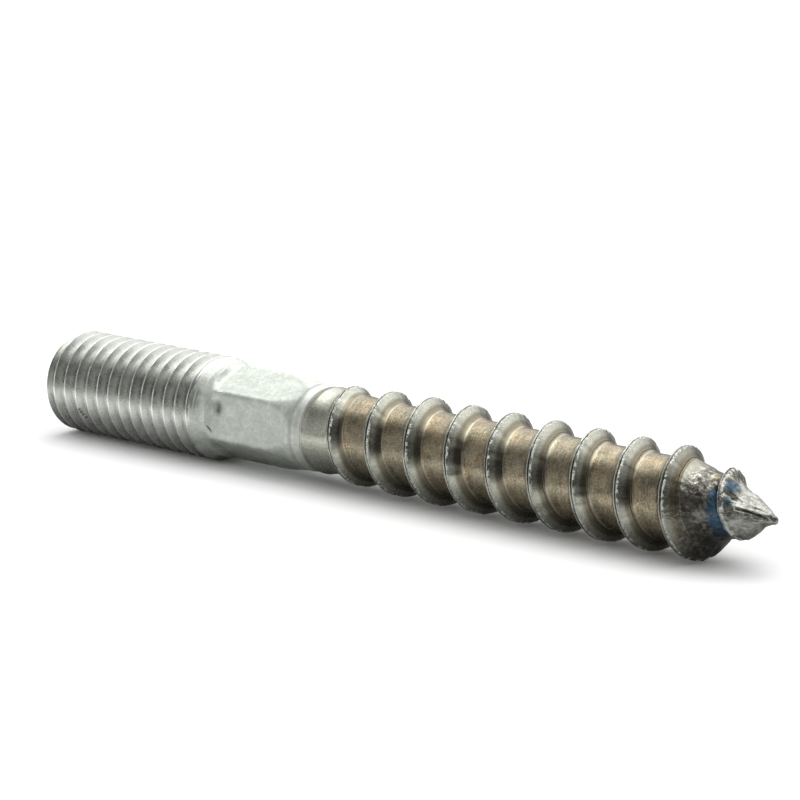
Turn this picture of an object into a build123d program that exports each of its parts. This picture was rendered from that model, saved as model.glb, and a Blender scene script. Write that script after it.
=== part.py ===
from build123d import *
from math import ceil, cos, pi, radians, sin, tan
from numpy import interp, linspace
import os

# Hanger bolt, cold formed in one piece from steel wire: a machine thread at one end, a plain
# neck with a pressed hexagon for the spanner, and a coarse wood thread with a gimlet point.
# +X runs along the axis from the machine end to the point, and the bolt lies with +Z up.
# The origin is the centre of the machine end face.  Sizes are in millimetres and degrees.

# Machine thread, M10 coarse, right-hand
machine_major_diameter = 9.9
machine_pitch = 1.5
machine_thread_length = 20.4
machine_thread_angle = 60.0
machine_thread_depth = 0.92
machine_flank_depth = 0.6        # below it the groove rounds into its root
machine_crest_width = 0.24
machine_first_groove = 0.2       # from the end face, where a groove crosses the +Y side
machine_runout_turns = 0.5
end_face_diameter = 8.6
end_chamfer_length = 0.7

# Neck and its pressed hexagon
neck_diameter = 8.95
neck_shoulder_length = 0.4
neck_length = 7.9
hex_across_flats = 7.8
hex_start = 1.2                  # plain neck between the shoulder and the flats
hex_start_slope = 35.0
hex_turn = 1.5                   # a corner of the hexagon, turned from +Z towards -Y

# Shank, between the neck and the wood thread
shank_taper_length = 4.3
shank_diameter = 7.75

# Wood thread, right-hand
wood_major_diameter = 9.4
wood_core_diameter = 7.15
wood_pitch = 4.64
wood_thread_length = 42.8        # from the shank to the start of the point
wood_crest_width = 0.35
wood_flank_angle = 36.0
wood_fillet_height = 0.525
wood_fillet_width = 0.62
least_fillet = 0.2               # of its full size, where the groove is shallow

# Where the wood thread starts: its crest grows out of the shank, and its groove sinks in
first_crest_drop = 0.3           # of the first crest below the later ones
first_crest_length = 2.8
crest_growth_length = 8.0
groove_start = 0.8               # from the shank, where the groove begins on top
groove_start_lift = 0.2          # of the groove's floor above the shank there
groove_entry_length = 1.2
groove_settle_length = 5.0

# Point
point_length = 7.05
tip_radius = 0.35
core_taper_length = 6.2          # of the groove's floor, where it runs out on the point
groove_end_lift = 0.12           # of the groove's floor above the point there
groove_end_to_tip = 2.4

cutter_overlap = 0.1             # how far the thread cutters stand out of the blank

# Stations along the axis
x_neck = machine_thread_length + neck_shoulder_length
x_taper = x_neck + neck_length
x_shank = x_taper + shank_taper_length
x_first_crest = x_shank + first_crest_length
x_full_crest = x_first_crest + crest_growth_length
x_point = x_shank + wood_thread_length
x_tip = x_point + point_length
x_groove = x_shank + groove_start
x_groove_end = x_tip - groove_end_to_tip


def radius_on(outline, x):
    return float(interp(x, [point[0] for point in outline], [point[1] for point in outline]))


# The wood thread's crests lie on one outline and its groove's floor on another
crest_outline = [
    (x_shank, shank_diameter / 2),
    (x_first_crest, wood_major_diameter / 2 - first_crest_drop),
    (x_full_crest, wood_major_diameter / 2),
    (x_point, wood_major_diameter / 2),
    (x_tip - tip_radius, tip_radius),
]
core_outline = [
    (x_groove, shank_diameter / 2 + groove_start_lift),
    (x_groove + groove_entry_length, shank_diameter / 2),
    (x_groove + groove_entry_length + groove_settle_length, wood_core_diameter / 2),
    (x_groove_end - core_taper_length, wood_core_diameter / 2),
    (x_groove_end, radius_on(crest_outline, x_groove_end) + groove_end_lift),
]


def blank():
    """The turned form that the threads are cut into: every crest lies on it."""
    outline = Polyline(
        (0, 0),
        (0, end_face_diameter / 2),
        (end_chamfer_length, machine_major_diameter / 2),
        (machine_thread_length, machine_major_diameter / 2),
        (x_neck, neck_diameter / 2),
        (x_taper, neck_diameter / 2),
        *crest_outline,
        (x_tip, 0),
        close=True,
    )
    return revolve(make_face(outline), Axis.X)


def hex_flats():
    """Six pads that press the flats, each with a sloping wall at the machine end."""
    half_flat = hex_across_flats / 2
    outside = neck_diameter / 2 + cutter_overlap
    x_flat = x_neck + hex_start
    x_wall = x_flat - (outside - half_flat) * tan(radians(hex_start_slope))
    outline = Polyline(
        (x_flat, half_flat), (x_shank, half_flat), (x_shank, outside), (x_wall, outside), close=True
    )
    pad = extrude(Plane.XZ * make_face(outline), neck_diameter / 2, both=True)
    return [pad.rotate(Axis.X, hex_turn + 30 + 60 * side) for side in range(6)]


def machine_section(x):
    """The machine thread's groove in the axial plane, where its centre line is at x."""
    slope = tan(radians(machine_thread_angle / 2))
    runout_start = machine_thread_length - machine_runout_turns * machine_pitch
    lift = float(interp(x, [runout_start, machine_thread_length], [0, machine_thread_depth]))
    crest = machine_major_diameter / 2 + lift
    half_top = (machine_pitch - machine_crest_width) / 2 + cutter_overlap * slope
    half_foot = (machine_pitch - machine_crest_width) / 2 - machine_flank_depth * slope
    return [
        (x - half_top, crest + cutter_overlap),
        (x - half_foot, crest - machine_flank_depth),
        (x, crest - machine_thread_depth),
        (x + half_foot, crest - machine_flank_depth),
        (x + half_top, crest + cutter_overlap),
    ]


def wood_section(x):
    """The wood thread's groove in the axial plane, where its centre line is at x."""
    slope = tan(radians(wood_flank_angle))
    full_depth = (wood_major_diameter - wood_core_diameter) / 2
    outside = wood_major_diameter / 2 + 2 * cutter_overlap

    def side(way):
        x_crest = x + way * (wood_pitch - wood_crest_width) / 2
        floor = radius_on(core_outline, x_crest)
        crest = max(radius_on(crest_outline, x_crest), floor)
        fillet = min(max((crest - floor) / full_depth, least_fillet), 1)
        x_foot = x_crest - way * max(crest - floor - fillet * wood_fillet_height, 0) * slope
        x_root = x_foot - way * fillet * wood_fillet_width
        x_top = x_crest + way * cutter_overlap * slope
        return [
            (x_top, outside),
            (x_top, crest + cutter_overlap),
            (x_foot, radius_on(core_outline, x_foot) + fillet * wood_fillet_height),
            (x_root, radius_on(core_outline, x_root)),
        ]

    return [*side(-1), *reversed(side(1))]


def thread_groove(section, pitch, start, end, start_angle):
    """A right-hand helical cutter about +X, as one closed solid.

    section(x) gives the groove's corners as (x, radius).  Angles run from +Y towards +Z.
    Each corner sweeps out a spline, in pieces of up to one turn, and flat-sided strips
    join the splines.
    """
    all_turns = (end - start) / pitch
    pieces = ceil(all_turns)
    points_in_turn = 12
    corner_count = len(section(start))

    def corner_at(corner, turn):
        x, radius = section(start + turn * pitch)[corner]
        angle = radians(start_angle) + 2 * pi * turn
        return Vector(x, radius * cos(angle), radius * sin(angle))

    def corner_path(corner, first, last):
        turns = [float(turn) for turn in linspace(first, last, points_in_turn + 1)]
        small = 0.001
        tangents = [
            (corner_at(corner, turn + small) - corner_at(corner, turn - small)) / (2 * small)
            for turn in (first, last)
        ]
        points = [corner_at(corner, turn) for turn in turns]
        return Edge.make_spline(points, tangents=tangents, parameters=turns, scale=False)

    def end_face(turn):
        return Face(Wire.make_polygon([corner_at(corner, turn) for corner in range(corner_count)]))

    faces = [end_face(0), end_face(all_turns)]
    for piece in range(pieces):
        first, last = piece * all_turns / pieces, (piece + 1) * all_turns / pieces
        paths = [corner_path(corner, first, last) for corner in range(corner_count)]
        faces += [
            Face.make_surface_from_curves(near, far)
            for near, far in zip(paths, paths[1:] + paths[:1])
        ]
    return Solid(Shell(faces))


bolt = blank() - hex_flats()
bolt -= thread_groove(
    machine_section, machine_pitch, machine_first_groove - machine_pitch, machine_thread_length, 0
)
bolt -= thread_groove(wood_section, wood_pitch, x_groove, x_groove_end, 90)

os.makedirs("parts", exist_ok=True)
export_step(bolt, "parts/hanger_bolt.step")
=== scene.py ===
import bmesh
import bpy
import numpy as np
from math import pi, radians
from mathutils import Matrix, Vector


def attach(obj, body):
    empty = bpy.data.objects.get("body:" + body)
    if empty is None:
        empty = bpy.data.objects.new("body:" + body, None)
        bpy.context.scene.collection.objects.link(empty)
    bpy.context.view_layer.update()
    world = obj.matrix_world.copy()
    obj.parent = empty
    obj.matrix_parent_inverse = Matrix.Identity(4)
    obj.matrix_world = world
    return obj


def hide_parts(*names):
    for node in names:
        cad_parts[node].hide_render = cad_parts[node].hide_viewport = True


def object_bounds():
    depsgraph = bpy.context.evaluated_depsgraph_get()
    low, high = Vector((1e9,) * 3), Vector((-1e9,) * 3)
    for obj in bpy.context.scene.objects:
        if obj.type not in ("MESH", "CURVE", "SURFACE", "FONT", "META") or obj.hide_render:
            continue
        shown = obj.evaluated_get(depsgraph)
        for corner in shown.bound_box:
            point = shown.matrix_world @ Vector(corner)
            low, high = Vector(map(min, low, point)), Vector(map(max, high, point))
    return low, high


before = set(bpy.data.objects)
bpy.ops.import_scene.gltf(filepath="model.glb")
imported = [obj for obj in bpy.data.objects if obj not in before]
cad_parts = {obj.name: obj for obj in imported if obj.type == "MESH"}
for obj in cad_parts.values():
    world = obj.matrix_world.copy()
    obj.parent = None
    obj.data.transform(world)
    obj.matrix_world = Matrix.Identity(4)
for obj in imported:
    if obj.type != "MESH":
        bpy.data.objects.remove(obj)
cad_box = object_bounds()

# ---------------------------------------------------------------------------------------------
# The bolt.  One length of steel wire, cold formed and zinc plated: the machine thread and the
# wood thread are rolled, the hexagon on the neck is pressed, and the point is pinched off.
# Its skin is one closed mesh made by Geometry Nodes, stretch by stretch and then joined.
# ---------------------------------------------------------------------------------------------

mm = 0.001
around = 120                     # faces round the bolt
tip_rise = 0.35 * mm             # how far the rounded tip stands out of its rim


class Field:
    """A number that a node tree works out, so that a formula in nodes reads as it is written."""

    def __init__(self, tree, socket):
        self.tree, self.socket = tree, socket

    def maths(self, operation, *others):
        made = self.tree.nodes.new("ShaderNodeMath")
        made.operation = operation
        for place, value in zip(made.inputs, (self, *others)):
            feed(self.tree, place, value)
        return Field(self.tree, made.outputs[0])

    def __add__(self, other): return self.maths("ADD", other)
    def __sub__(self, other): return self.maths("SUBTRACT", other)
    def __rsub__(self, other): return self.maths("MULTIPLY", -1) + other
    def __mul__(self, other): return self.maths("MULTIPLY", other)
    def __truediv__(self, other): return self.maths("DIVIDE", other)
    def least(self, other, blend=0): return self.maths("SMOOTH_MIN", other, blend)
    def most(self, other, blend=0): return self.maths("SMOOTH_MAX", other, blend)
    def cosine(self): return self.maths("COSINE")
    def sine(self): return self.maths("SINE")
    def tangent(self): return self.maths("TANGENT")
    def size(self): return self.maths("ABSOLUTE")
    def wrapped(self, period): return self.maths("WRAP", period * 0.5, period * -0.5)

    def rising(self, low, high):
        """0 below low, 1 above high and a smooth step between them."""
        step = node(self.tree, "ShaderNodeMapRange", Value=self, From_Min=low, From_Max=high)
        step.interpolation_type = "SMOOTHSTEP"
        return Field(self.tree, step.outputs["Result"])

    def falling(self, low, high):
        return 1 - self.rising(low, high)

    def within(self, low, full_from, full_to, high):
        """1 from full_from to full_to, fading to 0 at low and at high."""
        return self.rising(low, full_from) * self.falling(full_to, high)

    def hump(self, centre, half_width):
        """1 at the centre, fading to 0 at half_width from it."""
        return (self - centre).size().falling(0, half_width)

    __radd__ = __add__
    __rmul__ = __mul__


def feed(tree, place, value):
    """Links an input to a field or a socket, or sets it to a plain value."""
    if isinstance(value, Field):
        value = value.socket
    if isinstance(value, bpy.types.NodeSocket):
        tree.links.new(value, place)
    else:
        place.default_value = value


def node(tree, kind, **values):
    """A node with its inputs fed by name, where _ stands for a space."""
    made = tree.nodes.new(kind)
    for name, value in values.items():
        feed(tree, made.inputs[name.replace("_", " ")], value)
    return made


def new_tree(name, sizes):
    """A geometry tree with a named input for each size, and those inputs as fields."""
    tree = bpy.data.node_groups.new(name, "GeometryNodeTree")
    tree.interface.new_socket("Geometry", in_out="OUTPUT", socket_type="NodeSocketGeometry")
    for size, value in sizes.items():
        tree.interface.new_socket(
            size, in_out="INPUT", socket_type="NodeSocketFloat").default_value = value
    inputs = tree.nodes.new("NodeGroupInput")
    return tree, {size: Field(tree, inputs.outputs[size]) for size in sizes}


def vector(tree, x, y, z):
    return node(tree, "ShaderNodeCombineXYZ", X=x, Y=y, Z=z).outputs[0]


def on_cylinder(tree, x, radius, angle):
    """A place on the bolt.  The angle runs from +Y towards +Z."""
    return vector(tree, x, radius * angle.cosine(), radius * angle.sine())


def noise(tree, place, scale, detail=2.0, roughness=0.5):
    return Field(tree, node(tree, "ShaderNodeTexNoise", Vector=place, Scale=scale, Detail=detail,
                            Roughness=roughness).outputs[0])


def grid_fields(tree, columns, rows):
    """A flat grid to be wrapped into shape, and each point's place along it and across it."""
    grid = node(tree, "GeometryNodeMeshGrid", Size_X=1, Size_Y=1,
                Vertices_X=columns + 1, Vertices_Y=rows + 1)
    place = node(tree, "ShaderNodeSeparateXYZ", Vector=node(
        tree, "GeometryNodeInputPosition").outputs[0])
    along, across = (Field(tree, place.outputs[axis]) + 0.5 for axis in "XY")
    return grid.outputs["Mesh"], along, across


def wrap_round(tree, mesh, x, radius, angle):
    """Moves each point of a grid to its place on the bolt, and hands the mesh out."""
    moved = node(tree, "GeometryNodeSetPosition", Geometry=mesh,
                 Position=on_cylinder(tree, x, radius, angle))
    node(tree, "NodeGroupOutput", Geometry=moved.outputs[0])


def helical_strip(tree, size, stretch, crest_on_y, rows, crowding):
    """A strip that winds once round the bolt for each pitch, from one straight end to another.

    Its rows follow the crests and crowd together there.
    """
    turns = round((stretch["End"] - stretch["Start"]) / stretch["Pitch"] * around) / around + 1
    mesh, along, across = grid_fields(tree, round(turns * around), rows)
    turn = along * turns
    half_turn_back = (size["Start"] - size["Pitch"] * 0.5 - crest_on_y) / size["Pitch"]
    first_angle = (half_turn_back * around).maths("ROUND") * (2 * pi / around)
    across = across - ((across - 0.5) * (2 * pi)).sine() * (crowding / (2 * pi))
    low = size["Start"] + size["Pitch"] * (turn - 1)
    high = (low + size["Pitch"]).least(size["End"])
    low = low.most(size["Start"])
    return mesh, low + (high - low) * across, first_angle + turn * (2 * pi)


def from_helix(size, on_y, x, angle):
    """How far along the bolt a place lies from the nearest turn of a helix.

    The helix has the thread's pitch and crosses +Y at on_y.
    """
    return (x - on_y - size["Pitch"] * angle / (2 * pi)).wrapped(size["Pitch"])


# The machine thread, from the rim of the end face to the shoulder of the neck.  Rolling leaves
# a fine lap along its crest.
machine = {
    "Start": 0.0,
    "End": 20.8 * mm,
    "Pitch": 1.5 * mm,
    "Crest radius": 4.95 * mm,
    "Crest width": 0.14 * mm,
    "Crest blend": 0.02 * mm,
    "Thread depth": 0.92 * mm,
    "Flank angle": radians(30),
    "Root blend": 0.4 * mm,
    "Groove on +Y": 0.2 * mm,
    "Lap depth": 0.03 * mm,
    "Lap half width": 0.04 * mm,
    "Nick depth": 0.03 * mm,
    "End face radius": 4.3 * mm,
    "Rim length": 0.25 * mm,
    "Chamfer length": 0.7 * mm,
    "Chamfer blend": 0.1 * mm,
    "Run-out start": 19.0 * mm,
    "Thread end": 20.0 * mm,
    "Neck radius": 4.475 * mm,
}
tree, size = new_tree("Machine thread", machine)
mesh, x, angle = helical_strip(
    tree, size, machine, size["Groove on +Y"] - size["Pitch"] * 0.5, rows=14, crowding=0.72)
from_groove = from_helix(size, size["Groove on +Y"], x, angle)
from_crest = size["Pitch"] * 0.5 - from_groove.size()
flank = size["Crest radius"] \
    - (from_crest - size["Crest width"] * 0.5) / size["Flank angle"].tangent()
run_out = ((x - size["Run-out start"])
           / (size["Thread end"] - size["Run-out start"])).most(0).least(1)
root = size["Crest radius"] - size["Thread depth"] + size["Thread depth"] * run_out
on_skin = on_cylinder(tree, x, size["Crest radius"], angle)
lap = size["Lap depth"] * (1 - from_crest / size["Lap half width"]).most(0) \
    * noise(tree, on_skin, 900).rising(0.35, 0.6)
nicks = size["Nick depth"] * noise(tree, on_skin, 1500).rising(0.55, 0.8)
crest = size["Crest radius"] - lap - nicks
chamfer = size["End face radius"] \
    + x * (size["Crest radius"] - size["End face radius"]) / size["Chamfer length"]
shoulder = size["Neck radius"] + (size["End"] - x) \
    * (size["Crest radius"] - size["Neck radius"]) / (size["End"] - size["Thread end"])
rim = x.falling(0, size["Rim length"])
radius = flank.most(root, size["Root blend"]).least(crest, size["Crest blend"])
radius = radius.least(chamfer, size["Chamfer blend"]).least(shoulder) * (1 - rim) + chamfer * rim
wrap_round(tree, mesh, x, radius, angle)
stretches = [("Machine", tree, machine)]

# The neck: a hexagon pressed into it for the spanner, a taper down to the shank, and the low
# ring that the rolling of the wood thread pushed up at its end
neck = {
    "Start": machine["End"],
    "Start blend": 0.8 * mm,
    "End": 33.0 * mm,
    "End blend": 0.5 * mm,
    "Neck radius": machine["Neck radius"],
    "Taper start": 28.7 * mm,
    "Taper blend": 0.2 * mm,
    "Shank radius": 3.875 * mm,
    "Half across flats": 3.9 * mm,
    "First flat": radians(115),
    "Flats start": 22.0 * mm,
    "Flats slope": radians(35),
    "Flats start blend": 0.3 * mm,
    "Flats end": 30.6 * mm,
    "Flats end curve": 0.06 / mm,
    "Flats edge blend": 0.05 * mm,
    "Ring": 0.12 * mm,
    "Ring place": 32.5 * mm,
    "Ring half width": 0.5 * mm,
}
tree, size = new_tree("Pressed neck", neck)
mesh, along, across = grid_fields(tree, around, 60)
angle = along * (2 * pi)
x = size["Start"] + (size["End"] - size["Start"]) * across
taper = size["Neck radius"] - (x - size["Taper start"]) \
    * (size["Neck radius"] - size["Shank radius"]) / (size["End"] - size["Taper start"])
round_neck = taper.least(size["Neck radius"], size["Taper blend"]).most(size["Shank radius"])
from_flat = (angle - size["First flat"]).maths("WRAP", pi / 6, -pi / 6)
before_flats = (size["Flats start"] - x) / size["Flats slope"].tangent()
past_flats = (x - size["Flats end"]).most(0)
flat = (size["Half across flats"] + before_flats.most(0, size["Flats start blend"])
        + past_flats * past_flats * size["Flats end curve"]) / from_flat.cosine()
ring = size["Ring"] * x.hump(size["Ring place"], size["Ring half width"])
pressed = (x - size["Start"]).rising(0, size["Start blend"]) \
    * (x - size["End"] + size["End blend"]).falling(0, size["End blend"])
radius = round_neck.least(flat, size["Flats edge blend"]) * pressed \
    + taper.least(size["Neck radius"]) * (1 - pressed) + ring
wrap_round(tree, mesh, x, radius, angle)
stretches.append(("Neck", tree, neck))

# The wood thread and its point.  A rolled lap runs along its crest between two nicked lips, and
# the point's skin is crumpled where it was pinched off.
wood = {
    "Start": neck["End"],
    "End": cad_box[1].x - tip_rise,
    "Pitch": 4.64 * mm,
    "Crest on top": 36.12 * mm,
    "Crest radius": 4.7 * mm,
    "Crest width": 0.36 * mm,
    "Flank angle": radians(36),
    "Fillet": 0.75 * mm,
    "Lap depth": 0.13 * mm,
    "Lap half width": 0.085 * mm,
    "Lap wander": 0.16 * mm,
    "Nick depth": 0.09 * mm,
    "Shank radius": neck["Shank radius"],
    "First crest": 35.8 * mm,
    "First crest radius": 4.4 * mm,
    "Full crest": 43.8 * mm,
    "Core radius": 3.575 * mm,
    "Core start": 35.0 * mm,
    "Core start slope": 0.167,
    "Core even": 40.0 * mm,
    "Core settling slope": 0.06,
    "Core taper": 74.25 * mm,
    "Core taper slope": 0.286,
    "Point start": 75.8 * mm,
    "Tip radius": 0.35 * mm,
    "Crumple": 0.16 * mm,
    "Crumple start": 73.5 * mm,
    "Smooth from tip": 0.1 * mm,
    "Crumpled from tip": 1.2 * mm,
}
tree, size = new_tree("Wood thread", wood)
crest_on_y = size["Crest on top"] - size["Pitch"] * 0.25
mesh, x, angle = helical_strip(tree, size, wood, crest_on_y, rows=44, crowding=0.75)
from_crest = from_helix(size, crest_on_y, x, angle)


def crest_outline(x):
    """The radius of the crests, which grow out of the shank and end in the point."""
    growth = size["Shank radius"] + (x - size["Start"]) \
        * (size["First crest radius"] - size["Shank radius"]) \
        / (size["First crest"] - size["Start"])
    later_growth = size["First crest radius"] + (x - size["First crest"]) \
        * (size["Crest radius"] - size["First crest radius"]) \
        / (size["Full crest"] - size["First crest"])
    point = size["Tip radius"] + (size["End"] - x) \
        * (size["Crest radius"] - size["Tip radius"]) / (size["End"] - size["Point start"])
    growth = growth.most(size["Shank radius"]).least(later_growth)
    return growth.least(size["Crest radius"]).least(point)


crest_x = x - from_crest
crest = crest_outline(crest_x)
flank = crest - (from_crest.size() - size["Crest width"] * 0.5).most(0) \
    / size["Flank angle"].tangent()
settling = size["Core radius"] + (size["Core even"] - x) * size["Core settling slope"]
entry = size["Core radius"] \
    + (size["Core even"] - size["Core start"]) * size["Core settling slope"] \
    + (size["Core start"] - x) * size["Core start slope"]
taper = size["Core radius"] - (x - size["Core taper"]) * size["Core taper slope"]
floor = settling.most(entry).most(size["Core radius"]).least(taper)
on_crest = on_cylinder(tree, crest_x, crest, angle)
wander = (noise(tree, on_crest, 350) - 0.5) * size["Lap wander"]
lap = size["Lap depth"] * (1 - (from_crest + wander).size() / size["Lap half width"]).most(0) \
    * noise(tree, on_crest, 700).rising(0.3, 0.55)
nicks = size["Nick depth"] * noise(tree, on_crest, 1100, 3).rising(0.5, 0.75) \
    + size["Nick depth"] * 0.6 * (noise(tree, on_crest, 180) - 0.5)
standing_out = (crest - floor).rising(0.1 * mm, 0.4 * mm)     # a low crest has no lap or nicks
radius = (flank - (lap + nicks) * standing_out).most(floor, size["Fillet"])
on_core = on_cylinder(tree, x, size["Core radius"], angle)
crumpled = x.within(size["Crumple start"], size["Point start"],
                    size["End"] - size["Crumpled from tip"], size["End"] - size["Smooth from tip"])
crumple = size["Crumple"] * crumpled * ((noise(tree, on_core, 1300, 3, 0.6) - 0.5) * 2)
wrap_round(tree, mesh, x, radius.least(crest_outline(x)) + crumple, angle)
stretches.append(("Wood", tree, wood))

# The end face and the tip, two discs that close the skin.  The end face is dished inside a
# raised rim, and the tip is rounded.
cap = {"Place": 0.0, "Rim radius": machine["End face radius"], "Rise": 0.0, "Dish": 0.0}
cap_tree, size = new_tree("End cap", cap)
mesh, along, across = grid_fields(cap_tree, around, 24)
rise = size["Rise"] * (1 - across * across).maths("SQRT") \
    + size["Dish"] * across.falling(0.72, 0.9) + size["Dish"] * -0.5 * across.hump(0.93, 0.06)
wrap_round(cap_tree, mesh, size["Place"] + rise, size["Rim radius"] * across, along * (2 * pi))

# All of them joined.  Every size is a named input of the whole bolt.
all_sizes = {f"{stretch_name}: {size}": value
             for stretch_name, _, stretch in stretches for size, value in stretch.items()}
all_sizes |= {"End face dish": 0.12 * mm, "Tip rise": tip_rise, "Weld distance": 0.004 * mm}
bolt_tree, bolt_size = new_tree("Hanger bolt", all_sizes)
skin_parts = [(stretch_tree, {size: bolt_size[f"{stretch_name}: {size}"] for size in stretch})
              for stretch_name, stretch_tree, stretch in stretches]
skin_parts += [
    (cap_tree, {"Rim radius": bolt_size["Machine: End face radius"],
                "Dish": bolt_size["End face dish"]}),
    (cap_tree, {"Place": bolt_size["Wood: End"], "Rim radius": bolt_size["Wood: Tip radius"],
                "Rise": bolt_size["Tip rise"]}),
]
join = bolt_tree.nodes.new("GeometryNodeJoinGeometry")
for part_tree, part_inputs in skin_parts:
    part = bolt_tree.nodes.new("GeometryNodeGroup")
    part.node_tree = part_tree
    for size, value in part_inputs.items():
        feed(bolt_tree, part.inputs[size], value)
    bolt_tree.links.new(part.outputs[0], join.inputs[0])
weld = node(bolt_tree, "GeometryNodeMergeByDistance", Geometry=join.outputs[0],
            Distance=bolt_size["Weld distance"])
zinc = bpy.data.materials.new("zinc_plated_steel")
paint = node(bolt_tree, "GeometryNodeSetMaterial", Geometry=weld.outputs[0], Material=zinc)
realize = node(bolt_tree, "GeometryNodeRealizeInstances", Geometry=paint.outputs[0])
node(bolt_tree, "NodeGroupOutput", Geometry=realize.outputs[0])

maker = bpy.data.objects.new("bolt_maker", bpy.data.meshes.new("bolt_maker"))
bpy.context.scene.collection.objects.link(maker)
modifier = maker.modifiers.new("Hanger bolt", "NODES")
modifier.node_group = bolt_tree
for socket in bolt_tree.interface.items_tree:
    if socket.in_out == "INPUT":
        modifier[socket.identifier] = all_sizes[socket.name]
made = maker.evaluated_get(bpy.context.evaluated_depsgraph_get())
skin = bpy.data.meshes.new_from_object(made)
bpy.data.objects.remove(maker)

# Marks that happened once: a punch mark on the neck, and the pit, the pinches and the fold of
# the point.  They are in millimetres along and out from the axis, and in degrees round it.
points = np.empty(len(skin.vertices) * 3)
skin.vertices.foreach_get("co", points)
points = points.reshape(-1, 3) / mm
station = points[:, 0]
reach = np.hypot(points[:, 1], points[:, 2])
turned = np.degrees(np.arctan2(points[:, 2], points[:, 1])) % 360


def degrees_from(degrees):
    return (turned - degrees + 180) % 360 - 180


def ridge(across, centre, half_width):
    return np.exp(-((across - centre) / half_width) ** 2)


def by_station(*table):
    """Amounts between the stations of a table of (station, amount)."""
    return np.interp(station, *zip(*table))


def dent(x, degrees, length, width, depth, tilt=0.0):
    """An oval dent, its length along the bolt unless it is tilted."""
    along = station - x
    across = np.radians(degrees_from(degrees)) * reach
    tilt = radians(tilt)
    lengthwise = along * np.cos(tilt) + across * np.sin(tilt)
    sideways = across * np.cos(tilt) - along * np.sin(tilt)
    return -depth * np.exp(-(lengthwise / length) ** 2 - (sideways / width) ** 2)


punch_mark = dent(22.82, 163, length=0.35, width=0.8, depth=0.14)
pit = dent(79.2, 131, length=0.42, width=0.24, depth=0.35, tilt=-20)
pinched_above = ridge(degrees_from(100), 0, 45) * by_station(
    (78.9, 0), (79.6, -0.4), (80.5, -0.32), (81.1, -0.22), (81.8, 0.05), (82.3, 0.12), (82.5, 0.1))
pinched_below = ridge(degrees_from(250), 0, 40) * by_station(
    (79.3, 0), (80.4, 0.33), (81.0, 0.2), (81.6, -0.28), (82.2, -0.1), (82.6, 0))
across_fold = np.radians(degrees_from(153)) * reach
fold = by_station((79.4, 0), (79.9, 1), (81.9, 1), (82.4, 0)) \
    * (0.14 * ridge(across_fold, -0.1, 0.13) - 0.2 * ridge(across_fold, 0.09, 0.09))
new_reach = np.maximum(reach + (punch_mark + pit + pinched_above + pinched_below + fold), 0.0)
off_axis = reach > 1e-6
points[off_axis, 1:] *= (new_reach[off_axis] / reach[off_axis])[:, None]
points[:, 2] -= 0.12 * np.clip((station - 80.5) / 2.0, 0, 1) ** 2      # the tip hangs a little
skin.vertices.foreach_set("co", (points * mm).ravel())

work = bmesh.new()
work.from_mesh(skin)
bmesh.ops.dissolve_degenerate(work, dist=1e-7, edges=work.edges)
bmesh.ops.holes_fill(work, edges=[edge for edge in work.edges if edge.is_boundary], sides=8)
bmesh.ops.recalc_face_normals(work, faces=work.faces)
work.to_mesh(skin)
work.free()
skin.set_sharp_from_angle(angle=radians(40))
bolt = bpy.data.objects.new("hanger_bolt_steel", skin)
bpy.context.scene.collection.objects.link(bolt)
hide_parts("hanger_bolt")
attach(bolt, "root")

# The plating: pale and matt on the neck, brighter on the machine thread, and darker on the wood
# thread, whose root has yellowed.  Where a colour has two shades, the darker comes first.
neck_zinc = (0.627, 0.67, 0.61), (0.838, 0.872, 0.805)
neck_drawn = (0.471, 0.506, 0.457)
neck_grain = (0.457, 0.488, 0.44)
machine_zinc = (0.592, 0.614, 0.572), (0.748, 0.765, 0.714)
# Painted highlight: near white along the thin line of each machine crest
painted_crest_highlight = (0.95, 0.95, 0.95)
flank_zinc = (0.383, 0.391, 0.33), (0.592, 0.6, 0.514)
flank_combed = (0.295, 0.295, 0.244)
flank_near_point = (0.19, 0.185, 0.15)
# Brown in the fillet at the foot of each wood flank, made darker as painted shade
flank_foot_brown_and_shade = (0.166, 0.139, 0.09)
# Painted highlight along the foot of each wood flank
painted_foot_highlight = (0.522, 0.478, 0.377)
root_zinc = (0.231, 0.204, 0.138), (0.517, 0.435, 0.303)
root_grey = (0.259, 0.259, 0.198)
root_yellow = (0.55, 0.396, 0.242)
root_streak = (0.531, 0.468, 0.339)
root_grain = (0.155, 0.125, 0.074)
root_spark = (0.807, 0.751, 0.605)
point_zinc = (0.075, 0.072, 0.06), (0.22, 0.213, 0.185)
tip_zinc = (0.24, 0.24, 0.215), (0.46, 0.46, 0.42)
# Painted shade on the point behind the last crest, darker towards the bottom
painted_shade_behind_crest = (0.07, 0.066, 0.054)
point_glint = (0.66, 0.64, 0.57)
# Painted highlight: near white dots on the lips either side of the wood thread's lap
painted_lip_highlight = (0.9, 0.9, 0.84)
# Painted shade in the crease of the lap seam
painted_seam_shade = (0.03, 0.03, 0.027)
# Painted shade in the fine groove at the foot of the later wood flanks
painted_step_shade = (0.07, 0.065, 0.05)
spot_yellow = (0.36, 0.28, 0.09)
heat_blue = (0.045, 0.105, 0.165)
rubbed_grey = (0.2, 0.215, 0.2)
dirt_black = (0.05, 0.05, 0.045)
# Painted shade in a band on the taper just past the flats
painted_taper_shade = (0.25, 0.27, 0.25)
# Painted highlight in a band on the ring
painted_ring_highlight = (0.75, 0.77, 0.72)
# Painted shade in two fine fold lines round the shank
painted_fold_shade = (0.1, 0.1, 0.085)

zinc.use_nodes = True
tree = zinc.node_tree
shader = tree.nodes["Principled BSDF"]
shader.inputs["Metallic"].default_value = 1.0


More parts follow.
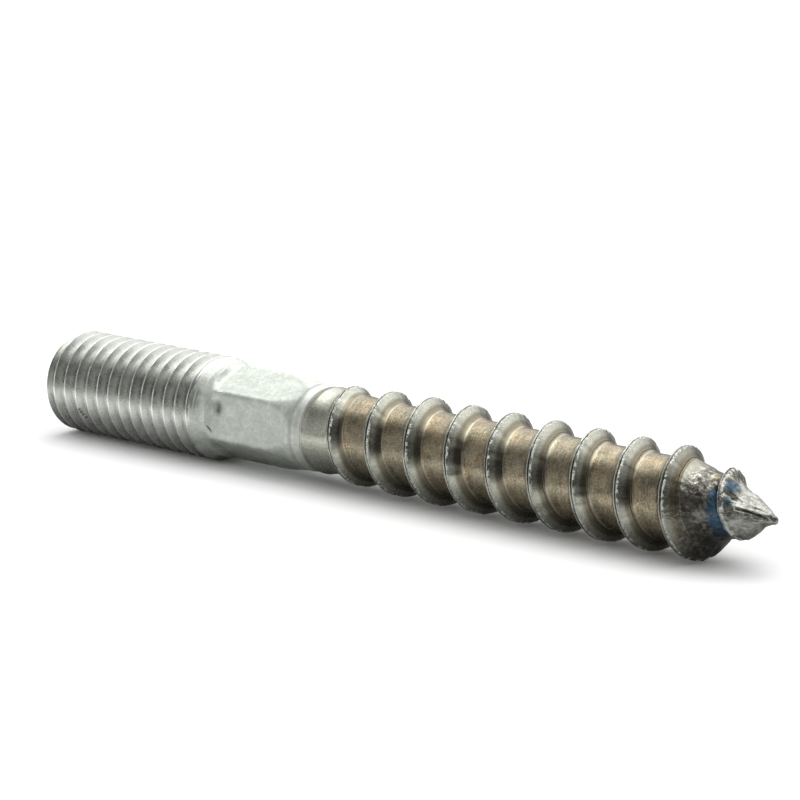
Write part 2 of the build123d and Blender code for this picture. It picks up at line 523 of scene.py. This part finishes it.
def blend(share, first, second):
    """A mix of two colours, given or worked out."""
    mix = tree.nodes.new("ShaderNodeMix")
    mix.data_type = "RGBA"
    sockets = {socket.identifier: socket for socket in mix.inputs}
    for name, value in (("Factor_Float", share), ("A_Color", first), ("B_Color", second)):
        feed(tree, sockets[name], (*value, 1) if isinstance(value, tuple) else value)
    return next(socket for socket in mix.outputs if socket.identifier == "Result_Color")


def coated(colour, *coats):
    """A colour with coats laid over it in turn, each by its share."""
    for share, coat in coats:
        colour = blend(share, colour, coat)
    return colour


# Places on the bolt in millimetres: along it, out from its axis, and from each thread's crest
place = node(tree, "ShaderNodeTexCoord").outputs["Object"]
apart = node(tree, "ShaderNodeSeparateXYZ", Vector=place)
x, y, z = (Field(tree, apart.outputs[axis]) / mm for axis in "XYZ")
radius = (y * y + z * z).maths("SQRT")
angle = z.maths("ARCTAN2", y)
angle_from_back = (z * -1).maths("ARCTAN2", y * -1)
wood_pitch, machine_pitch = wood["Pitch"] / mm, machine["Pitch"] / mm
wood_crest_on_y = wood["Crest on top"] / mm - wood_pitch * 0.25
machine_crest_on_y = machine["Groove on +Y"] / mm - machine_pitch * 0.5
from_crest = (x - wood_crest_on_y - angle * (wood_pitch / (2 * pi))).wrapped(wood_pitch)
from_machine_crest = (x - machine_crest_on_y
                      - angle * (machine_pitch / (2 * pi))).wrapped(machine_pitch)
on_machine = x.falling(19.9, 20.3)
on_wood = x.rising(33.1, 33.5)
on_threaded = on_machine.most(on_wood)
on_near_side = y.falling(-1, 0)
on_tip = x.rising(78.2, 79.2)
crumpled = x.rising(73.5, 76.0)

# Patterns, from fine to broad, and the lines that the tools drew
grain = noise(tree, place, 6000, 3, 0.6)
flecks = noise(tree, place, 2600)
mottle = noise(tree, place, 900, 4, 0.65)
patches = noise(tree, place, 480)
cloud = noise(tree, place, 260, 3)
streaks = noise(tree, vector(tree, from_crest * 9, y * 0.5 + x * 0.3, z * 0.5), 1.0, 4, 0.6)
drawn = noise(tree, vector(tree, x * 0.25, y * 2.2, z * 2.2), 1.0, 4, 0.6)
combed = noise(tree, vector(tree, angle_from_back * 40, radius * 0.8, x * 0.2), 1.0, 3)

# Parts of the threads' sections, by the distance from a crest
on_root = (from_crest.size() + (mottle - 0.5) * 0.3).rising(1.02, 1.2) \
    * x.within(35.8, 38.0, 73.6, 75.2)
on_crest = x.rising(34.8, 35.6) * radius.rising(2.0, 2.3)
# The lap seam, painted dark as shade in its crease
seam = from_crest.size().falling(0.03, 0.10) * on_crest * x.falling(72, 76)
# The lips of the lap, painted with near white dots as a highlight, and also rougher and bumpier
lips = (from_crest.hump(0.19, 0.14) * flecks.rising(0.46, 0.52)
        + from_crest.hump(-0.17, 0.06) * cloud.rising(0.3, 0.5)
        + from_crest.hump(0.05, 0.13) * x.rising(74, 77) * flecks.rising(0.3, 0.5)) * on_crest
# The fillet at the foot of each wood flank, painted browner and darker as shade
foot = from_crest.within(0.45, 0.72, 1.02, 1.12) * on_wood * x.rising(35, 37)
# A thin line at the foot of each wood flank, painted lighter as a highlight
foot_line = from_crest.hump(1.15, 0.06) * (0.3 + 0.7 * streaks.rising(0.4, 0.6)) \
    * on_wood * x.rising(35, 37)
foot_stripes = (from_crest.hump(1.15, 0.08) + from_crest.hump(1.4, 0.07)) \
    * on_wood * x.rising(36, 38)
# A fine groove at the foot of the later wood flanks, also painted dark as shade
step = from_crest.hump(0.92 + (mottle - 0.5) * 0.15, 0.06) * x.within(56, 60, 75, 76)
# Where the point lies behind the last crest, painted dark as shade towards the bottom
behind_last_crest = from_crest.hump(1.45, 0.85) * x.within(74.0, 75.0, 76.8, 77.8)
# The thin line along each machine crest, painted near white as a highlight
machine_crest = from_machine_crest.size().falling(0.04, 0.10) * x.falling(19.5, 20.0) \
    * radius.rising(4.6, 4.85)

# The tone of each stretch
neck_tone = coated(
    blend((mottle * 0.5 + flecks * 0.25 + grain * 0.25).rising(0.4, 0.6), *neck_zinc),
    (drawn.rising(0.45, 0.7) * 0.2, neck_drawn),
    (grain.rising(0.45, 0.6) * 0.35, neck_grain))
machine_tone = coated(
    blend(mottle.rising(0.3, 0.7), *machine_zinc),
    (machine_crest * 0.9, painted_crest_highlight))
flank_tone = coated(
    blend(grain.rising(0.3, 0.7), *flank_zinc),
    (combed.rising(0.35, 0.7) * 0.25, flank_combed),
    (x.rising(68, 74) * 0.55, flank_near_point),
    (foot * 0.85, flank_foot_brown_and_shade))
root_tone = coated(
    blend(mottle.rising(0.35, 0.65), *root_zinc),
    (patches.rising(0.42, 0.52) * 0.45, root_grey),
    (patches.falling(0.42, 0.5) * cloud.rising(0.4, 0.5) * 0.4, root_yellow),
    (streaks.rising(0.42, 0.62) * 0.5, root_streak),
    (grain.rising(0.42, 0.58) * 0.7, root_grain),
    (grain.rising(0.56, 0.7) * mottle.rising(0.4, 0.6) * 0.7, root_spark))
point_tone = blend((mottle * 0.5 + flecks * 0.5).rising(0.4, 0.6),
                   *(blend(on_tip, *shades) for shades in zip(point_zinc, tip_zinc)))
glints = (grain * 0.5 + flecks * 0.5).rising(0.5, 0.62) * mottle.rising(0.35, 0.6) \
    * x.within(74.8, 75.6, 78.2, 78.8)
wood_tone = coated(
    blend(on_root, blend(x.rising(74.6, 76.2), flank_tone, point_tone), root_tone),
    (behind_last_crest * z.falling(1.0, 2.4) * 0.65, painted_shade_behind_crest),
    (glints * (0.12 + 0.85 * z.rising(0.8, 2.4)), point_glint),
    (foot_line * 0.35, painted_foot_highlight))


def close_to(spot, fade):
    """1 at a spot on the bolt, falling to 0 at the fade's distance from it."""
    away_x, away_y, away_z = (axis - at for axis, at in zip((x, y, z), spot))
    away = away_x * away_x + away_y * away_y + away_z * away_z
    return away.maths("SQRT").falling(fade * 0.35, fade)


def close_to_any(first, *others):
    nearest = close_to(*first)
    for spot, fade in others:
        nearest = nearest.most(close_to(spot, fade))
    return nearest


# Heat stain round the last crest, and the smear, tick, rubs and dirt that handling left
heat = close_to_any(
    ((77.9, -1.9, 1.75), 0.75), ((78.0, -2.35, 1.0), 1.0), ((78.15, -2.5, 0.2), 1.0),
    ((78.4, -2.35, -0.6), 1.0), ((78.6, -1.9, -1.4), 1.0), ((78.95, -1.05, 2.4), 0.8),
    ((79.05, -0.4, 2.3), 0.7), ((79.2, -2.04, 1.38), 0.6)) \
    * noise(tree, place, 1100, 3).rising(0.1, 0.5)
yellow_spot = close_to((76.96, -0.5, 2.75), 0.45)
rubbed_spot = close_to((22.75, -3.9, 1.2), 1.0)
smear = x.hump(22.85, 0.45) * z.hump(1.1, 0.85) * (0.55 + 0.45 * z.hump(0.75, 0.3)) * on_near_side
crest_dirt = close_to_any(
    ((4.92, -4.63, -1.56), 0.22), ((4.97, -4.45, -1.82), 0.22),
    ((5.03, -4.25, -2.1), 0.2), ((5.12, -3.95, -2.42), 0.2))
tick_x, tick_z = x - 21.96, z + 0.95
tick = (tick_x * 0.851 + tick_z * 0.525).hump(0, 0.09) \
    * (tick_x * 0.525 - tick_z * 0.851).hump(0, 0.45).rising(0, 0.3) * on_near_side
rubs = (x.hump(20.2, 0.1) + x.hump(20.48, 0.09)) * z.within(0.7, 1.0, 2.3, 2.8) * on_near_side
dirt = smear.most(crest_dirt * 0.7).most(tick * 0.85).most(rubs * 0.5)
# Two fine fold lines round the shank, painted dark as shade
fold_lines = x.hump(33.2, 0.08) + x.hump(33.5, 0.07) * 0.5

colour = coated(
    blend(on_wood, blend(on_machine, neck_tone, machine_tone), wood_tone),
    (lips * 0.9, painted_lip_highlight),
    (seam * mottle.rising(0.3, 0.5) * 0.9, painted_seam_shade),
    (step * 0.4, painted_step_shade),
    (yellow_spot * 0.45, spot_yellow),
    (heat * 0.92, heat_blue),
    (rubbed_spot * 0.5, rubbed_grey),
    (dirt * (0.6 + 0.4 * mottle.rising(0.2, 0.5)), dirt_black),
    (x.hump(32.05, 0.4) * 0.35, painted_taper_shade),
    (x.hump(32.75, 0.35) * 0.35, painted_ring_highlight),
    (fold_lines * 0.6, painted_fold_shade))
tree.links.new(colour, shader.inputs["Base Color"])

# Matt on the neck and glossier on the threads, with a fine relief that is deepest on the point
rough = 0.52 + 0.1 * mottle.rising(0.3, 0.7) - on_threaded * 0.29 \
    + (grain - 0.5) * 0.1 + lips * 0.2 + crumpled * 0.1
tree.links.new(rough.socket, shader.inputs["Roughness"])
height = (mottle - 0.5) * (0.02 - 0.016 * on_threaded + 0.06 * crumpled) \
    + (flecks - 0.5) * (0.015 - 0.015 * on_threaded + 0.08 * crumpled) \
    + (grain - 0.5) * (0.01 - 0.007 * on_threaded + 0.035 * crumpled) \
    + (streaks - 0.5) * on_root * 0.035 \
    + foot_stripes * 0.006 - step * 0.03 + (grain - 0.5) * lips * 0.17
bump = node(tree, "ShaderNodeBump", Height=height, Distance=mm)
tree.links.new(bump.outputs[0], shader.inputs["Normal"])

# ---------------------------------------------------------------------------------------------
# The table.  A plain white matt top, on which the bolt lies on the crests of its machine
# thread.  In the bolt's reflections its colour is painted darker: painted shade close by,
# where the bolt shades the top itself, and a painted darkening far away.
# ---------------------------------------------------------------------------------------------

table_height = -machine["Crest radius"]
half_table = 3.0
table = bpy.data.objects.new("table", bpy.data.meshes.new("table"))
corners = ((-1, -1), (1, -1), (1, 1), (-1, 1))
table.data.from_pydata([(half_table * x, half_table * y, table_height) for x, y in corners],
                       [], [(0, 1, 2, 3)])
bpy.context.scene.collection.objects.link(table)
white = bpy.data.materials.new("white_table")
white.use_nodes = True
tree = white.node_tree
top = tree.nodes["Principled BSDF"]
top.inputs["Roughness"].default_value = 1.0
top.inputs["Specular IOR Level"].default_value = 0.0
paths = node(tree, "ShaderNodeLightPath").outputs
glossy, length = (Field(tree, paths[name]) for name in ("Is Glossy Ray", "Ray Length"))
# Painted shade close by and painted darkening far away, both only as the bolt reflects the top
in_reflections = (0.3 + 0.7 * length.rising(2 * mm, 18 * mm)) \
    * (1 - 0.7 * length.rising(20 * mm, 60 * mm))
shade = 0.93 * (1 - (1 - in_reflections) * glossy)
grey = node(tree, "ShaderNodeCombineColor", Red=shade, Green=shade, Blue=shade)
tree.links.new(grey.outputs[0], top.inputs["Base Color"])
table.data.materials.append(white)

# ---------------------------------------------------------------------------------------------
# The studio.  A broad bright ceiling that leans to the back, a dimmer wall at the left, a small
# panel at the right and a dark room in front, all as the bolt reflects them, and one soft lamp.
# ---------------------------------------------------------------------------------------------

world = bpy.data.worlds.new("studio")
bpy.context.scene.world = world
world.use_nodes = True
tree = world.node_tree
apart = node(tree, "ShaderNodeSeparateXYZ",
             Vector=node(tree, "ShaderNodeTexCoord").outputs["Generated"])
x, y, z = (Field(tree, apart.outputs[axis]) for axis in "XYZ")
leftwards = (x * 0.754 + y * 0.657) * -1
behind = y * 0.974 - x * 0.225
ceiling = (z + 0.55 * behind).rising(0.48, 1.0) * (1 - 0.33 * leftwards.rising(0.05, 0.4))
wall = leftwards.rising(0.3, 1.0) * (0.6 - 0.5 * z)
panel = x.rising(0.8, 0.9) * y.rising(-0.15, 0.05) * z.rising(0.38, 0.5)
reflected = 0.05 + 1.75 * ceiling + (1 - ceiling) * wall + 0.7 * panel * (1 - ceiling)
diffuse = 0.35 + 1.1 * z.rising(0.2, 0.9)
paths = node(tree, "ShaderNodeLightPath").outputs
glossy, seen = (Field(tree, paths[name]) for name in ("Is Glossy Ray", "Is Camera Ray"))
light = reflected * glossy + diffuse * (1 - glossy)
strength = light + (1 - light) * seen
background = tree.nodes["Background"]
background.inputs["Color"].default_value = (1, 1, 1, 1)
tree.links.new(strength.socket, background.inputs["Strength"])

lamp = bpy.data.lights.new("softbox", "AREA")
lamp.shape = "RECTANGLE"
lamp.size, lamp.size_y = 0.5, 0.35
lamp.energy = 0.6
softbox = bpy.data.objects.new("softbox", lamp)
softbox.location = (0.0, 0.1, 0.45)
softbox.rotation_euler = (-softbox.location).to_track_quat("-Z", "Y").to_euler()
bpy.context.scene.collection.objects.link(softbox)

# ---------------------------------------------------------------------------------------------
# The camera.  A long lens beyond the point of the bolt, which looks back along it and a little
# down.
# ---------------------------------------------------------------------------------------------

view_direction = Vector((-0.64117, 0.73580, -0.21797))
camera = bpy.data.objects.new("camera", bpy.data.cameras.new("camera"))
camera.data.sensor_width = 36
camera.data.lens = 140.526
camera.data.clip_start, camera.data.clip_end = 0.01, 20
camera.location = Vector((221.55, -206.11, 65.09)) * mm
camera.rotation_euler = view_direction.to_track_quat("-Z", "Y").to_euler()
bpy.context.scene.collection.objects.link(camera)
bpy.context.scene.camera = camera
bpy.context.scene.view_settings.view_transform = "Standard"
